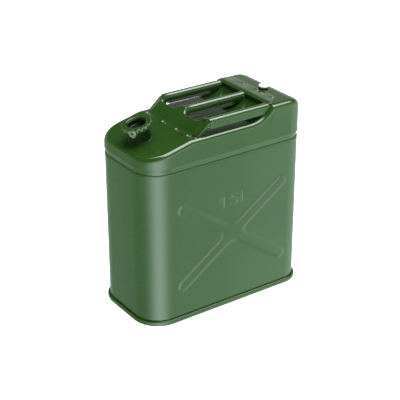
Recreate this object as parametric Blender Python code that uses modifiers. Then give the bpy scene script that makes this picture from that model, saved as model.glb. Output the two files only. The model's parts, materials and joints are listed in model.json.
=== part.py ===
"""Upright 15 litre steel fuel can: welded shell, bar handle, screw ring cap, stowed spout and vent screw.

The origin is on the floor under the middle of the body. +X points to the rear, -X to the filler end.
"""
import math

import bmesh
import bpy
from mathutils import Matrix, Vector

# Body, in metres
BODY_LENGTH = 0.325
BODY_WIDTH = 0.165
FRONT_RADIUS = 0.047
REAR_RADIUS = 0.035
BODY_FOOT = 0.0025
BODY_TOP = 0.2815
SHEET = 0.001
FIT_GAP = 0.0003
CORNER_STEPS = 8

# Cross pressed into both broad sides
CROSS_CENTRE_X = 0.009
CROSS_CENTRE_Z = 0.138
CROSS_HALF_LENGTH = 0.134
CROSS_ANGLE = math.radians(34.7)
CROSS_HALF_WIDTH = 0.009
CROSS_FILLET = 0.009
CROSS_HEIGHT = 0.0016

# Rolled bead that joins the bottom pan to the body
BEAD_OUTSET = 0.004
BEAD_HEIGHT = 0.009
PAN_SHEET = 0.0008
PAN_FLOOR = 0.010

# Top cover
SEAM_GAP = 0.0095
COVER_OUTSET = 0.0009
SPIGOT_DEPTH = 0.007
RIM_FILLET = 0.008
RIM_STEPS = 5
DECK_Z = 0.3284
DECK_KINK_X = -0.0733
DECK_SLOPE = math.radians(13.3)
RISER_START_X = 0.046
RISER_RADIUS = 0.057
REAR_DECK_Z = 0.3515
REAR_ROUND = 0.028
PROFILE_STEPS = 7

# Handle
HANDLE_SHEET = 0.0014
HANDLE_HALF_WIDTH = 0.0745
APRON_HALF_FOOT = 0.066
APRON_HALF_TOP = 0.0605
RETURN_SETBACK = 0.006
BAR_SPACING = 0.067
BAR_WIDTH = 0.0155
BAR_DEPTH = 0.0135
BAR_CORNER = 0.0068
APRON_FOOT_X = -0.0620
APRON_TOP_X = -0.0350
FRONT_FLANGE = 0.0100
SLOT_END_X = 0.086
OUTER_BAR_REACH = 0.005
REAR_FLANGE_END_X = 0.119
SLOT_FRONT_DROP = 0.0070
SLOT_CORNER = 0.012
FLANGE_CLIP = 0.019

# Filler neck, measured along its own axis from the deck
NECK_FOOT_X = -0.122
NECK_RADIUS = 0.019
NECK_WALL = 0.0015
NECK_HEIGHT = 0.0252
NECK_SPIGOT = 0.006
THREAD_PITCH = 0.002
THREAD_HEIGHT = 0.0007

# What the ring clamps on the neck
GASKET_THICKNESS = 0.001
COLLAR_FLANGE = 0.0008
COLLAR_WALL = 0.0007
CLOSURE_FLANGE = 0.001
CLOSURE_DISH = 0.0105
CLOSURE_SHEET = 0.001

# Lobed ring
RING_RADIUS = 0.026
RING_LOBES = 18
RING_LOBE_DEPTH = 0.0016
RING_HOLE_RADIUS = 0.017
RING_LIP = 0.0018
RING_HEIGHT = 0.0075
RUNNING_GAP = 0.0004
SEAL_ANGLE = math.radians(221)
SEAL_HALF_WIDTH = 0.0062
SEAL_LENGTH = 0.0128
SEAL_FOOT_RADIUS = 0.0046
SEAL_HOLE_RADIUS = 0.0027
SEAL_HOLE_DROP = 0.0044
SEAL_SHEET = 0.0014

# Stowed spout
SPOUT_RADIUS = 0.011
SPOUT_WALL = 0.001
SPOUT_LENGTH = 0.135
SPOUT_HEAD_LENGTH = 0.016

# Vent at the rear
VENT_X = 0.129
VENT_Y = -0.005
VENT_HEAD_RADIUS = 0.009
VENT_HEAD_HEIGHT = 0.0028
VENT_SHANK_RADIUS = 0.004
VENT_SHANK_LENGTH = 0.014
VENT_WASHER = 0.0032
VENT_BOSS_RADIUS = 0.0085
VENT_BOSS_HEIGHT = 0.007

STEPS = 40


def clear_scene():
    for item in list(bpy.data.objects):
        bpy.data.objects.remove(item, do_unlink=True)


def new_collection(name):
    collection = bpy.data.collections.new(name)
    bpy.context.scene.collection.children.link(collection)
    return collection


def new_material(name, colour, roughness, metallic):
    material = bpy.data.materials.new(name)
    material.use_nodes = True
    shader = material.node_tree.nodes["Principled BSDF"]
    shader.inputs["Base Color"].default_value = (*colour, 1.0)
    shader.inputs["Roughness"].default_value = roughness
    shader.inputs["Metallic"].default_value = metallic
    return material


clear_scene()
PARTS = new_collection("fuel_can")
CUTTERS = new_collection("cutters")


def add_part(name, mesh, material):
    part = bpy.data.objects.new(name, mesh)
    PARTS.objects.link(part)
    part.data.materials.clear()
    part.data.materials.append(material)
    return part


def add_cutter(name, mesh):
    cutter = bpy.data.objects.new(name, mesh)
    CUTTERS.objects.link(cutter)
    cutter.hide_render = True
    cutter.display_type = "WIRE"
    return cutter


def boolean(part, other, operation):
    modifier = part.modifiers.new(other.name, "BOOLEAN")
    modifier.operation = operation
    modifier.object = other
    modifier.solver = "EXACT"


def thicken(part, thickness, offset):
    modifier = part.modifiers.new("sheet", "SOLIDIFY")
    modifier.thickness = thickness
    modifier.offset = offset
    modifier.use_even_offset = True


def smooth(part, angle=35):
    part.data.shade_smooth()
    part.data.set_sharp_from_angle(angle=math.radians(angle))


def half_plan(offset, stations=()):
    """The plan outline's half at positive y, front to rear, offset outwards from the body's face."""
    front = Vector((-BODY_LENGTH / 2 + FRONT_RADIUS, BODY_WIDTH / 2 - FRONT_RADIUS))
    rear = Vector((BODY_LENGTH / 2 - REAR_RADIUS, BODY_WIDTH / 2 - REAR_RADIUS))
    points = []
    for step in range(CORNER_STEPS + 1):
        turn = math.pi - step * math.pi / 2 / CORNER_STEPS
        points.append(front + (FRONT_RADIUS + offset) * Vector((math.cos(turn), math.sin(turn))))
    for x in stations:
        points.append(Vector((x, BODY_WIDTH / 2 + offset)))
    for step in range(CORNER_STEPS + 1):
        turn = math.pi / 2 - step * math.pi / 2 / CORNER_STEPS
        points.append(rear + (REAR_RADIUS + offset) * Vector((math.cos(turn), math.sin(turn))))
    return points


def plan_row(offset, height, stations=()):
    """A closed row of points round the plan; height is a number or a function of x."""
    half = half_plan(offset, stations)
    both = half + [Vector((p.x, -p.y)) for p in reversed(half)]
    return [Vector((p.x, p.y, height(p.x) if callable(height) else height)) for p in both]


def plan_surface(name, rows, cap_first=False, cap_last=False):
    """Quads between closed rows that run outside upwards, with cross strips as caps."""
    shape = bmesh.new()
    made = [[shape.verts.new(point) for point in row] for row in rows]
    count = len(rows[0])
    for low, high in zip(made, made[1:]):
        for i in range(count):
            j = (i + 1) % count
            shape.faces.new((low[i], high[i], high[j], low[j]))
    for row, wanted, up in ((made[0], cap_first, False), (made[-1], cap_last, True)):
        for i in range(count // 2 - 1):
            corners = (row[i], row[count - 1 - i], row[count - 2 - i], row[i + 1])
            if wanted:
                shape.faces.new(corners if up else tuple(reversed(corners)))
    mesh = bpy.data.meshes.new(name)
    shape.to_mesh(mesh)
    shape.free()
    return mesh


def prism(name, outline, low, high, place=None):
    """A solid between two planes of constant local z from a closed outline that runs anticlockwise."""
    shape = bmesh.new()
    bottom = [shape.verts.new((x, y, low)) for x, y in outline]
    top = [shape.verts.new((x, y, high)) for x, y in outline]
    shape.faces.new(tuple(reversed(bottom)))
    shape.faces.new(top)
    for i in range(len(outline)):
        j = (i + 1) % len(outline)
        shape.faces.new((bottom[i], bottom[j], top[j], top[i]))
    bmesh.ops.recalc_face_normals(shape, faces=shape.faces)
    if place is not None:
        shape.transform(place)
    mesh = bpy.data.meshes.new(name)
    shape.to_mesh(mesh)
    shape.free()
    return mesh


def cylinder(name, radius, low, high, steps=STEPS):
    shape = bmesh.new()
    bmesh.ops.create_cone(shape, cap_ends=True, segments=steps, radius1=radius, radius2=radius, depth=high - low)
    bmesh.ops.translate(shape, verts=shape.verts, vec=(0, 0, (low + high) / 2))
    mesh = bpy.data.meshes.new(name)
    shape.to_mesh(mesh)
    shape.free()
    return mesh


def turned(name, profile, material, closed, steps=STEPS):
    """A turned piece; the profile of (radius, height) runs down its outer side first."""
    mesh = bpy.data.meshes.new(name)
    edges = [(i, i + 1) for i in range(len(profile) - 1)]
    if closed:
        edges.append((len(profile) - 1, 0))
    mesh.from_pydata([(radius, 0, height) for radius, height in profile], edges, [])
    part = add_part(name, mesh, material)
    screw = part.modifiers.new("turn", "SCREW")
    screw.axis = "Z"
    screw.angle = 2 * math.pi
    screw.steps = steps
    screw.render_steps = steps
    screw.use_merge_vertices = True
    screw.merge_threshold = 0.00001
    screw.use_smooth_shade = True
    return part


def arc_2d(centre, radius, start, end, steps):
    """Points on an arc in the plane, with angles in radians."""
    return [
        (
            centre[0] + radius * math.cos(start + (end - start) * step / steps),
            centre[1] + radius * math.sin(start + (end - start) * step / steps),
        )
        for step in range(steps + 1)
    ]


def cross_outline(half_width, fillet):
    """A cross of two round-ended bars with filleted crotches, anticlockwise."""
    angles = (CROSS_ANGLE, math.pi - CROSS_ANGLE, math.pi + CROSS_ANGLE, 2 * math.pi - CROSS_ANGLE)
    reach = CROSS_HALF_LENGTH - CROSS_HALF_WIDTH
    points = []
    for i, angle in enumerate(angles):
        end = (reach * math.cos(angle), reach * math.sin(angle))
        points += arc_2d(end, half_width, angle - math.pi / 2, angle + math.pi / 2, 6)
        following = angles[(i + 1) % 4] + (2 * math.pi if i == 3 else 0)
        half_gap = (following - angle) / 2
        middle = angle + half_gap
        distance = (half_width + fillet) / math.sin(half_gap)
        centre = (distance * math.cos(middle), distance * math.sin(middle))
        points += arc_2d(centre, fillet, angle - math.pi / 2, following + math.pi / 2 - 2 * math.pi, 5)
    return points


def deck_height(x):
    """Height of the top cover's skin at x, front slope to rear rounding."""
    rise = REAR_DECK_Z - DECK_Z
    riser_end = RISER_START_X + math.sqrt(RISER_RADIUS**2 - (RISER_RADIUS - rise) ** 2)
    if x < DECK_KINK_X:
        return DECK_Z - math.tan(DECK_SLOPE) * (DECK_KINK_X - x)
    if x < RISER_START_X:
        return DECK_Z
    if x < riser_end:
        return DECK_Z + RISER_RADIUS - math.sqrt(RISER_RADIUS**2 - (x - RISER_START_X) ** 2)
    overhang = x - (BODY_LENGTH / 2 + COVER_OUTSET - REAR_ROUND)
    if overhang < 0:
        return REAR_DECK_Z
    return REAR_DECK_Z - REAR_ROUND + math.sqrt(max(REAR_ROUND**2 - overhang**2, 0))


def neck_frame():
    """World matrix of the filler neck: origin on the deck, z along the neck."""
    foot = Vector((NECK_FOOT_X, 0, deck_height(NECK_FOOT_X)))
    return Matrix.Translation(foot) @ Matrix.Rotation(-DECK_SLOPE, 4, "Y")


def make_body(paint):
    rows = [plan_row(0, BODY_FOOT), plan_row(0, BODY_TOP)]
    body = add_part("body_shell", plan_surface("body_shell", rows), paint)
    thicken(body, SHEET, -1)
    outer_cross = cross_outline(CROSS_HALF_WIDTH, CROSS_FILLET)
    inner_cross = cross_outline(CROSS_HALF_WIDTH - SHEET, CROSS_FILLET + SHEET)
    for side, label in ((-1, "near"), (1, "far")):
        face = BODY_WIDTH / 2
        upright = Matrix.Translation((CROSS_CENTRE_X, 0, CROSS_CENTRE_Z)) @ Matrix.Rotation(
            side * -math.pi / 2, 4, "X"
        )
        outer = prism(f"cross_{label}", outer_cross, face - SHEET / 2, face + CROSS_HEIGHT, upright)
        inner = prism(
            f"cross_inside_{label}", inner_cross, face - 5 * SHEET, face + CROSS_HEIGHT - SHEET, upright
        )
        boolean(body, add_cutter(f"cross_{label}", outer), "UNION")
        boolean(body, add_cutter(f"cross_inside_{label}", inner), "DIFFERENCE")
    return body


def make_pan(paint):
    inside = -SHEET - FIT_GAP - PAN_SHEET / 2
    outside = BEAD_OUTSET - PAN_SHEET / 2
    foot = PAN_SHEET / 2
    path = [(inside - 0.004, PAN_FLOOR), (inside - 0.0012, PAN_FLOOR - 0.0012), (inside, PAN_FLOOR - 0.004)]
    path += [(inside, foot + 0.0006), (inside + 0.0006, foot), (outside - 0.0022, foot)]
    path += [(outside - 0.0006, foot + 0.0008), (outside, foot + 0.0026), (outside, BEAD_HEIGHT - 0.003)]
    path += [(outside - 0.0009, BEAD_HEIGHT - 0.001), (FIT_GAP + PAN_SHEET, BEAD_HEIGHT - PAN_SHEET / 2)]
    rows = [plan_row(offset, height) for offset, height in reversed(path)]
    mesh = plan_surface("bottom_pan", rows, cap_last=True)
    mesh.flip_normals()
    pan = add_part("bottom_pan", mesh, paint)
    thicken(pan, PAN_SHEET, 0)
    return pan


def cover_stations():
    """x of the cover's cross sections along its straight sides."""
    rise = REAR_DECK_Z - DECK_Z
    end_turn = math.acos(1 - rise / RISER_RADIUS)
    stations = [DECK_KINK_X]
    for step in range(PROFILE_STEPS + 1):
        stations.append(RISER_START_X + RISER_RADIUS * math.sin(end_turn * step / PROFILE_STEPS))
    stations.append(stations[-1] + 0.002)
    return stations


def make_cover(paint):
    stations = cover_stations()
    seam_z = BODY_TOP + SEAM_GAP
    spigot = -SHEET - FIT_GAP
    rows = [plan_row(spigot, BODY_TOP - SPIGOT_DEPTH, stations), plan_row(spigot, seam_z, stations)]
    rows.append(plan_row(COVER_OUTSET - 0.0006, seam_z, stations))
    rows.append(plan_row(COVER_OUTSET, seam_z + 0.0006, stations))
    for step in range(RIM_STEPS + 1):
        turn = math.pi / 2 * step / RIM_STEPS
        inset = RIM_FILLET * (1 - math.cos(turn))
        drop = RIM_FILLET * (1 - math.sin(turn))
        rows.append(plan_row(COVER_OUTSET - inset, lambda x, d=drop: deck_height(x) - d, stations))
    cover = add_part("top_cover", plan_surface("top_cover", rows, cap_last=True), paint)
    thicken(cover, SHEET, -1)
    neck_hole = add_cutter("neck_hole", cylinder("neck_hole", NECK_RADIUS + FIT_GAP, -0.02, 0.02))
    neck_hole.matrix_world = neck_frame()
    boolean(cover, neck_hole, "DIFFERENCE")
    vent_hole = add_cutter("vent_hole", cylinder("vent_hole", VENT_SHANK_RADIUS + RUNNING_GAP, -0.01, 0.01))
    vent_hole.location = (VENT_X, VENT_Y, REAR_DECK_Z)
    boolean(cover, vent_hole, "DIFFERENCE")
    return cover


def sheet_profile(path, thickness):
    """Closed outline of a bent sheet: the path is its upper face, front to rear, seen from -y."""
    lower = []
    for i, point in enumerate(path):
        before = Vector(path[max(i - 1, 0)])
        after = Vector(path[min(i + 1, len(path) - 1)])
        here = Vector(point)
        first = (here - before).normalized() if i else (after - here).normalized()
        second = (after - here).normalized() if i < len(path) - 1 else first
        along = (first + second).normalized()
        down = Vector((along.y, -along.x))
        lower.append(tuple(here + down * thickness / max(along.dot(first), 0.5)))
    return lower + list(reversed(path))


def slot_outline(start, end, half_width, corner):
    """A slot in plan with a round-cornered front end and a square rear end, anticlockwise."""
    points = [(end, -half_width), (end, half_width)]
    points += arc_2d((start + corner, half_width - corner), corner, math.pi / 2, math.pi, 4)
    points += arc_2d((start + corner, -half_width + corner), corner, math.pi, 3 * math.pi / 2, 4)
    return points


def riser_clearance():
    """Solid under the bars that keeps their undersides clear of the riser behind the hand well."""
    end = SLOT_END_X + OUTER_BAR_REACH + 0.0005
    steps = 10
    outline = []
    for step in range(steps + 1):
        x = RISER_START_X + (end - RISER_START_X) * step / steps
        outline.append((x, min(deck_height(x) + RUNNING_GAP + 0.0004, REAR_DECK_Z + FIT_GAP / 2)))
    outline += [(end, DECK_Z - 0.01), (RISER_START_X, DECK_Z - 0.01)]
    place = Matrix.Rotation(math.pi / 2, 4, "X")
    reach = max(HANDLE_HALF_WIDTH + 0.001, BAR_SPACING + BAR_WIDTH / 2 + FIT_GAP)
    return prism("riser_clearance", outline, -reach, reach, place)


def slab(name, points, shift):
    """The convex solid over a patch and its copy moved by shift."""
    shape = bmesh.new()
    for point in points:
        shape.verts.new(point)
        shape.verts.new(Vector(point) + Vector(shift))
    bmesh.ops.convex_hull(shape, input=shape.verts)
    mesh = bpy.data.meshes.new(name)
    shape.to_mesh(mesh)
    shape.free()
    return mesh


def bar_section():
    """An inverted channel, anticlockwise, with its crest at y = 0."""
    half = BAR_WIDTH / 2
    inner = half - HANDLE_SHEET
    inner_corner = BAR_CORNER - HANDLE_SHEET
    section = [(half, -BAR_DEPTH)]
    section += arc_2d((half - BAR_CORNER, -BAR_CORNER), BAR_CORNER, 0, math.pi / 2, 4)
    section += arc_2d((-half + BAR_CORNER, -BAR_CORNER), BAR_CORNER, math.pi / 2, math.pi, 4)
    section += [(-half, -BAR_DEPTH), (-inner, -BAR_DEPTH)]
    section += arc_2d((-inner + inner_corner, -BAR_CORNER), inner_corner, math.pi, math.pi / 2, 4)
    section += arc_2d((inner - inner_corner, -BAR_CORNER), inner_corner, math.pi / 2, 0, 4)
    section.append((inner, -BAR_DEPTH))
    return section


def make_handle(paint):
    bottom = DECK_Z + FIT_GAP + HANDLE_SHEET
    top = REAR_DECK_Z + FIT_GAP + HANDLE_SHEET
    path = [(APRON_FOOT_X - FRONT_FLANGE, bottom), (APRON_FOOT_X, bottom), (APRON_TOP_X, top)]
    path.append((REAR_FLANGE_END_X, top))
    outline = sheet_profile(path, HANDLE_SHEET)
    edge = HANDLE_HALF_WIDTH
    sheet = prism("carry_handle", outline, -edge, edge, Matrix.Rotation(math.pi / 2, 4, "X"))
    handle = add_part("carry_handle", sheet, paint)

    for side in (-1, 1):
        far = HANDLE_HALF_WIDTH + 0.001
        corners = [
            (APRON_FOOT_X - FRONT_FLANGE - 0.001, side * APRON_HALF_FOOT),
            (APRON_FOOT_X, side * APRON_HALF_FOOT),
            (APRON_TOP_X, side * APRON_HALF_TOP),
            (APRON_TOP_X, side * far),
            (APRON_FOOT_X - FRONT_FLANGE - 0.001, side * far),
        ]
        waste = prism(f"apron_trim_{side}", corners, DECK_Z - 0.002, top + 0.001)
        boolean(handle, add_cutter(f"apron_trim_{side}", waste), "DIFFERENCE")
        back = RETURN_SETBACK
        patch = [
            (APRON_FOOT_X + 0.0004, side * (APRON_HALF_FOOT - 0.0004), bottom - 0.0002),
            (APRON_TOP_X + 0.0004, side * (APRON_HALF_TOP - 0.0004), top - 0.0004),
            (APRON_TOP_X + back, side * (edge - 0.002), top - 0.0016),
            (APRON_FOOT_X + back, side * (edge - 0.004), bottom + 0.0004),
        ]
        web = slab(f"side_return_{side}", patch, (HANDLE_SHEET, 0, -HANDLE_SHEET * 0.2))
        boolean(handle, add_cutter(f"side_return_{side}", web), "UNION")

    slope = (top - bottom) / (APRON_TOP_X - APRON_FOOT_X)
    slot_start = APRON_TOP_X - SLOT_FRONT_DROP / slope
    slot_half = (BAR_SPACING - BAR_WIDTH) / 2
    for number, y in enumerate((-BAR_SPACING / 2, BAR_SPACING / 2)):
        outline = slot_outline(slot_start, SLOT_END_X, slot_half, SLOT_CORNER)
        slot = prism(f"slot_{number}", outline, DECK_Z + 0.004, top + 0.01, Matrix.Translation((0, y, 0)))
        boolean(handle, add_cutter(f"slot_{number}", slot), "DIFFERENCE")

    across = Matrix.Rotation(math.pi / 2, 4, "Z") @ Matrix.Rotation(math.pi / 2, 4, "X")
    for number, y in enumerate((-BAR_SPACING, 0, BAR_SPACING)):
        end = SLOT_END_X + (OUTER_BAR_REACH if y else 0)
        outline = slot_outline(APRON_TOP_X + 0.006, end - 0.002, BAR_WIDTH / 2 + 0.002, 0.001)
        hollow = prism(f"bar_hollow_{number}", outline, top - 0.004, top + 0.002, Matrix.Translation((0, y, 0)))
        boolean(handle, add_cutter(f"bar_hollow_{number}", hollow), "DIFFERENCE")
        place = Matrix.Translation((0, y, top + 0.0002)) @ across
        bar = prism(f"bar_{number}", bar_section(), APRON_TOP_X + 0.003, end, place)
        boolean(handle, add_cutter(f"bar_{number}", bar), "UNION")
    boolean(handle, add_cutter("riser_clearance", riser_clearance()), "DIFFERENCE")

    clip = [
        (REAR_FLANGE_END_X - FLANGE_CLIP - 0.006, -edge - 0.001),
        (REAR_FLANGE_END_X + 0.001, -edge - 0.001),
        (REAR_FLANGE_END_X + 0.001, -edge + FLANGE_CLIP + 0.004),
    ]
    corner = prism("flange_clip", clip, REAR_DECK_Z - 0.002, top + 0.002)
    boolean(handle, add_cutter("flange_clip", corner), "DIFFERENCE")
    return handle


def make_neck_group(paint, rubber, zinc):
    frame = neck_frame()
    mouth = NECK_HEIGHT
    bore = NECK_RADIUS - NECK_WALL
    outer = [(bore, mouth), (NECK_RADIUS, mouth)]
    for turn in (0, 1):
        level = mouth - 0.0007 - turn * THREAD_PITCH
        outer += [(NECK_RADIUS, level + THREAD_PITCH * 0.35), (NECK_RADIUS + THREAD_HEIGHT, level)]
        outer += [(NECK_RADIUS, level - THREAD_PITCH * 0.35)]
    outer += [(NECK_RADIUS, -NECK_SPIGOT), (bore, -NECK_SPIGOT)]
    neck = turned("filler_neck", outer, paint, closed=True)

    gasket_low = mouth + FIT_GAP
    gasket_top = gasket_low + GASKET_THICKNESS
    gasket = turned(
        "neck_gasket",
        [(NECK_RADIUS, gasket_top), (NECK_RADIUS, gasket_low), (bore, gasket_low), (bore, gasket_top)],
        rubber,
        closed=True,
    )

    collar_low = gasket_top + FIT_GAP
    collar_top = collar_low + COLLAR_FLANGE
    head = bore - FIT_GAP - RUNNING_GAP
    head_foot = collar_low - SPOUT_HEAD_LENGTH
    tube_bore = SPOUT_RADIUS + FIT_GAP
    socket_foot = head_foot - 0.012
    collar = turned(
        "spout_collar",
        [
            (NECK_RADIUS, collar_top),
            (NECK_RADIUS, collar_low),
            (head, collar_low),
            (head, head_foot + 0.004),
            (tube_bore + COLLAR_WALL, head_foot - 0.002),
            (tube_bore + COLLAR_WALL, socket_foot),
            (tube_bore, socket_foot),
            (tube_bore, head_foot - 0.002),
            (head - COLLAR_WALL, head_foot + 0.004),
            (head - COLLAR_WALL, collar_top),
        ],
        zinc,
        closed=True,
    )
    tube_top = head_foot - 0.003
    tube_foot = tube_top - SPOUT_LENGTH
    tube = turned(
        "spout_tube",
        [
            (SPOUT_RADIUS, tube_top),
            (SPOUT_RADIUS, tube_foot),
            (SPOUT_RADIUS - SPOUT_WALL, tube_foot),
            (SPOUT_RADIUS - SPOUT_WALL, tube_top),
        ],
        zinc,
        closed=True,
        steps=24,
    )

    closure_low = collar_top + FIT_GAP
    closure_top = closure_low + CLOSURE_FLANGE
    lip_under = closure_top + FIT_GAP
    ring_top = lip_under + RING_LIP
    dish = head - COLLAR_WALL - 2 * FIT_GAP
    dish_floor = ring_top - CLOSURE_DISH
    closure = turned(
        "closure_disc",
        [
            (0, dish_floor),
            (dish - 0.003, dish_floor + 0.0006),
            (dish - CLOSURE_SHEET, dish_floor + 0.0012),
            (dish - CLOSURE_SHEET, closure_top),
            (NECK_RADIUS, closure_top),
            (NECK_RADIUS, closure_low),
            (dish, closure_low),
            (dish, dish_floor - 0.0002),
            (dish - 0.003, dish_floor - CLOSURE_SHEET),
            (0, dish_floor - CLOSURE_SHEET),
        ],
        paint,
        closed=False,
    )

    lobes = []
    count = RING_LOBES * 6
    for step in range(count):
        turn = 2 * math.pi * step / count
        dip = RING_LOBE_DEPTH * (0.5 - 0.5 * math.cos(RING_LOBES * turn))
        lobes.append(((RING_RADIUS - dip) * math.cos(turn), (RING_RADIUS - dip) * math.sin(turn)))
    ring_foot = ring_top - RING_HEIGHT
    ring = add_part("cap_ring", prism("cap_ring", lobes, ring_foot, ring_top), paint)
    thread_bore = NECK_RADIUS + THREAD_HEIGHT + RUNNING_GAP
    hole = add_cutter("ring_hole", cylinder("ring_hole", RING_HOLE_RADIUS, ring_foot - 0.01, ring_top + 0.01))
    socket = add_cutter("ring_socket", cylinder("ring_socket", thread_bore, ring_foot - 0.01, lip_under))
    for cutter in (hole, socket):
        cutter.matrix_world = frame
        boolean(ring, cutter, "DIFFERENCE")

    seal_height = ring_top - 0.0005 - SEAL_HOLE_DROP
    seal = add_part("seal_eye", seal_eye_mesh(), paint)
    outward = Matrix.Rotation(SEAL_ANGLE, 4, "Z") @ Matrix.Translation((RING_RADIUS + FIT_GAP, 0, seal_height))
    seal_place = frame @ outward @ Matrix.Rotation(math.pi / 2, 4, "Y")
    for part in (neck, gasket, collar, tube, closure, ring):
        part.matrix_world = frame
    seal.matrix_world = seal_place
    seal_hole = add_cutter("seal_hole", cylinder("seal_hole", SEAL_HOLE_RADIUS, -0.002, 0.004, 20))
    seal_hole.matrix_world = seal_place
    boolean(seal, seal_hole, "DIFFERENCE")
    smooth(ring)


def seal_eye_mesh():
    """A small eye plate: square above, tapering to a round foot, in its local xy plane with +x down from the hole."""
    foot_centre = SEAL_LENGTH - SEAL_HOLE_DROP - SEAL_FOOT_RADIUS
    outline = arc_2d((foot_centre, 0), SEAL_FOOT_RADIUS, -math.pi / 2, math.pi / 2, 10)
    outline += [(0, SEAL_HALF_WIDTH), (-SEAL_HOLE_DROP, SEAL_HALF_WIDTH)]
    outline += [(-SEAL_HOLE_DROP, -SEAL_HALF_WIDTH), (0, -SEAL_HALF_WIDTH)]
    return prism("seal_eye", outline, 0, SEAL_SHEET)


def make_vent(paint, rubber, zinc):
    seat = REAR_DECK_Z + FIT_GAP
    head_low = seat + VENT_WASHER + FIT_GAP
    head_top = head_low + VENT_HEAD_HEIGHT
    clear = VENT_SHANK_RADIUS + RUNNING_GAP
    boss_top = REAR_DECK_Z - SHEET - FIT_GAP
    boss_low = boss_top - VENT_BOSS_HEIGHT
    ring_profile = [(VENT_BOSS_RADIUS, boss_top), (VENT_BOSS_RADIUS, boss_low), (clear, boss_low), (clear, boss_top)]
    boss = turned("vent_boss", ring_profile, paint, closed=True, steps=28)
    washer_radius = VENT_HEAD_RADIUS - 0.0005
    washer_profile = [
        (washer_radius, seat + VENT_WASHER),
        (washer_radius, seat),
        (clear, seat),
        (clear, seat + VENT_WASHER),
    ]
    washer = turned("vent_washer", washer_profile, rubber, closed=True, steps=28)
    screw_profile = [
        (0, head_top),
        (VENT_HEAD_RADIUS - 0.0012, head_top),
        (VENT_HEAD_RADIUS, head_top - 0.001),
        (VENT_HEAD_RADIUS, head_low),
        (VENT_SHANK_RADIUS, head_low),
        (VENT_SHANK_RADIUS, head_low - VENT_SHANK_LENGTH),
        (0, head_low - VENT_SHANK_LENGTH),
    ]
    screw = turned("vent_screw", screw_profile, zinc, closed=False, steps=28)
    for part in (boss, washer, screw):
        part.location = (VENT_X, VENT_Y, 0)


def main():
    paint = new_material("green_enamel", (0.045, 0.115, 0.05), 0.2, 0.0)
    rubber = new_material("black_rubber", (0.02, 0.02, 0.02), 0.6, 0.0)
    zinc = new_material("bright_zinc", (0.8, 0.8, 0.8), 0.25, 1.0)
    make_body(paint)
    make_pan(paint)
    make_cover(paint)
    make_handle(paint)
    make_neck_group(paint, rubber, zinc)
    make_vent(paint, rubber, zinc)


main()
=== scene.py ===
import json
import math

import bmesh
import bpy
import numpy as np
from mathutils import Matrix, Vector


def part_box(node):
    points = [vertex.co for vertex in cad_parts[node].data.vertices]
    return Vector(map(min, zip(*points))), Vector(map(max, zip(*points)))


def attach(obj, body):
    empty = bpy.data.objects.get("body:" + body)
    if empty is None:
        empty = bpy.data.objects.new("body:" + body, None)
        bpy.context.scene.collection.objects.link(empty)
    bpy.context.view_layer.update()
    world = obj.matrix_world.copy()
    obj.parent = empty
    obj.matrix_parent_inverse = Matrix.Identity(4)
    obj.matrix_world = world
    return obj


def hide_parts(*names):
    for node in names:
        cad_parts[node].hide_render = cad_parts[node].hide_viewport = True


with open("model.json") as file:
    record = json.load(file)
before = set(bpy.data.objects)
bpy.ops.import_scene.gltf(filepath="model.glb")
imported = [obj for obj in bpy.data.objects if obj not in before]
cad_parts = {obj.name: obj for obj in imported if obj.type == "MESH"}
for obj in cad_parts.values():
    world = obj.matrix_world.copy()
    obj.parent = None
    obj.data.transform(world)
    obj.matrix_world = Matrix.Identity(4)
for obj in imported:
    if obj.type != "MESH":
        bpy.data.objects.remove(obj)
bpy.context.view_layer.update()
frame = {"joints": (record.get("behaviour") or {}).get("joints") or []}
jointNamed = {joint["name"]: joint for joint in frame["joints"]}
scene = bpy.context.scene
scene.view_settings.view_transform = "Standard"
print("frame loaded")


# camera first, so every look after it is judged from the same place
view = {
    "azimuth": -35.0458,
    "elevation": 26.4737,
    "distance": 2.01659,
    "target": (-0.00143, 0.00101, 0.16894),
    "lens": 103.53,
}
camera = bpy.data.objects.new("viewCamera", bpy.data.cameras.new("viewCamera"))
scene.collection.objects.link(camera)
turn = math.radians(view["azimuth"])
lift = math.radians(view["elevation"])
outward = Vector((math.sin(turn) * math.cos(lift), -math.cos(turn) * math.cos(lift), math.sin(lift)))
camera.location = Vector(view["target"]) + outward * view["distance"]
camera.rotation_euler = outward.to_track_quat("Z", "Y").to_euler()
camera.data.lens = view["lens"]
camera.data.sensor_width = 36
scene.camera = camera


def areaLight(name, place, aim, size, watts):
    lamp = bpy.data.lights.new(name, "AREA")
    lamp.shape = "RECTANGLE"
    lamp.size, lamp.size_y = size
    lamp.energy = watts
    holder = bpy.data.objects.new(name, lamp)
    scene.collection.objects.link(holder)
    holder.location = place
    holder.rotation_euler = (Vector(place) - Vector(aim)).to_track_quat("Z", "Y").to_euler()
    holder.visible_glossy = False  # only the studio world shows in the gloss


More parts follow.
